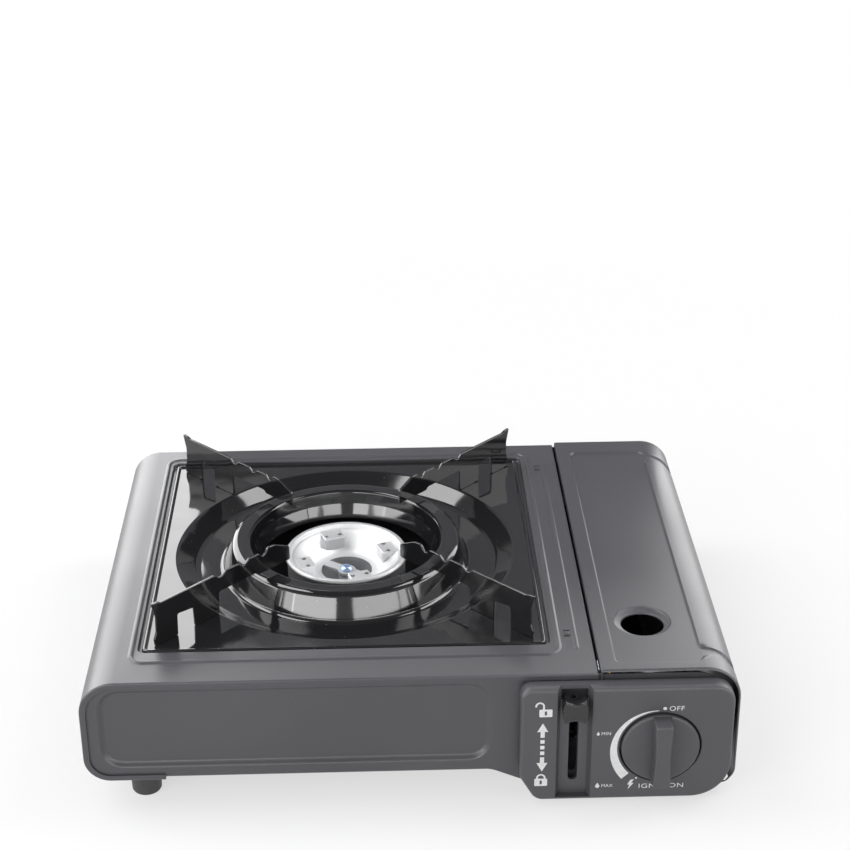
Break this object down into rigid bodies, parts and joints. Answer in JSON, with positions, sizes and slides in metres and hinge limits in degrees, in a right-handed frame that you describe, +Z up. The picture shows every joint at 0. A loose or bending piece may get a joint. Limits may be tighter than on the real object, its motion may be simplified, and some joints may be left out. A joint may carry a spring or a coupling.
{
  "type": "camping stove",
  "caption": "Portable tabletop gas stove with a folded steel body, drip pan and pan supports, hinged cartridge lid, lock lever and rotary control knob.",
  "frame": {"origin": "centre of the overall outline, on the surface the stove stands on", "axes": "+Z up, +X to the stove's right, -Y to its front, where the knob and the lever are"},
  "size_m": [0.345, 0.284, 0.1017],
  "materials": {
    "body_paint": "satin charcoal stoving paint on pressed steel sheet",
    "pan_enamel": "glossy black vitreous enamel on pressed steel",
    "cast_aluminium": "bright die-cast aluminium with a fine turned finish",
    "zinc_steel": "bright zinc-plated steel sheet",
    "brass": "plain machined brass",
    "control_plastic": "finely grained charcoal ABS",
    "lever_plastic": "glossy black ABS",
    "foot_rubber": "black moulded rubber",
    "lead_insulation": "silicone-rubber high-tension insulation",
    "insulator_ceramic": "white glazed ceramic"
  },
  "bodies": {
    "stove": {"top_shell": "body_paint", "base_tray": "body_paint", "heat_shield": "zinc_steel", "foot_front_left": "foot_rubber", "foot_front_right": "foot_rubber", "foot_rear_left": "foot_rubber", "foot_rear_right": "foot_rubber", "lid_hinge_pin_front": "zinc_steel", "lid_hinge_pin_rear": "zinc_steel", "lid_catch": "zinc_steel", "burner_body": "cast_aluminium", "burner_head": "cast_aluminium", "burner_screw": "zinc_steel", "burner_bracket": "zinc_steel", "electrode_insulator": "insulator_ceramic", "electrode_pin": "zinc_steel", "gas_pipe": "brass", "gas_jet": "brass", "control_box": "control_plastic", "valve_bracket": "zinc_steel", "regulator_body": "cast_aluminium", "regulator_cover": "cast_aluminium", "piezo_igniter": "lever_plastic", "ignition_lead": "lead_insulation", "lever_bracket": "zinc_steel", "lever_pivot_pin": "zinc_steel", "link_guide": "zinc_steel", "cartridge_cradle": "zinc_steel"},
    "lid": {"cartridge_lid": "body_paint"},
    "knob": {"control_knob": "control_plastic", "valve_spindle": "brass", "igniter_cam": "control_plastic"},
    "plunger": {"igniter_plunger": "control_plastic"},
    "lever": {"lever_arm": "zinc_steel", "lever_knob": "lever_plastic"},
    "pusher": {"pusher_link": "zinc_steel", "pusher_plate": "zinc_steel"},
    "pan": {"drip_pan": "pan_enamel", "pan_support_front_left": "pan_enamel", "pan_support_front_right": "pan_enamel", "pan_support_rear_left": "pan_enamel", "pan_support_rear_right": "pan_enamel"}
  },
  "joints": [
    {"name": "lid_hinge", "type": "hinge", "parent": "stove", "child": "lid", "pos_m": [0.1628, 0.0095, 0.015], "axis": [0, 1, 0], "range_deg": [0, 92]},
    {"name": "knob_turn", "type": "hinge", "parent": "stove", "child": "knob", "pos_m": [0.1301, -0.1315, 0.036], "axis": [0, -1, 0], "range_deg": [0, 150]},
    {"name": "plunger_slide", "type": "slide", "parent": "stove", "child": "plunger", "axis": [0, 1, 0], "range_m": [0, 0.00401]},
    {"name": "lever_hinge", "type": "hinge", "parent": "stove", "child": "lever", "pos_m": [0.0847, -0.0745, 0.0392], "axis": [1, 0, 0], "range_deg": [0, 42.6]},
    {"name": "pusher_slide", "type": "slide", "parent": "stove", "child": "pusher", "axis": [0, -1, 0], "range_m": [0, 0.00873]},
    {"name": "pan_lift", "type": "slide", "parent": "stove", "child": "pan", "axis": [0, 0, 1], "range_m": [0, 0.06]}
  ],
  "couplings": [
    {"joint": "plunger_slide", "follows": "knob_turn", "m_per_rad": 0.001528},
    {"joint": "pusher_slide", "follows": "lever_hinge", "m_per_rad": 0.01173}
  ]
}
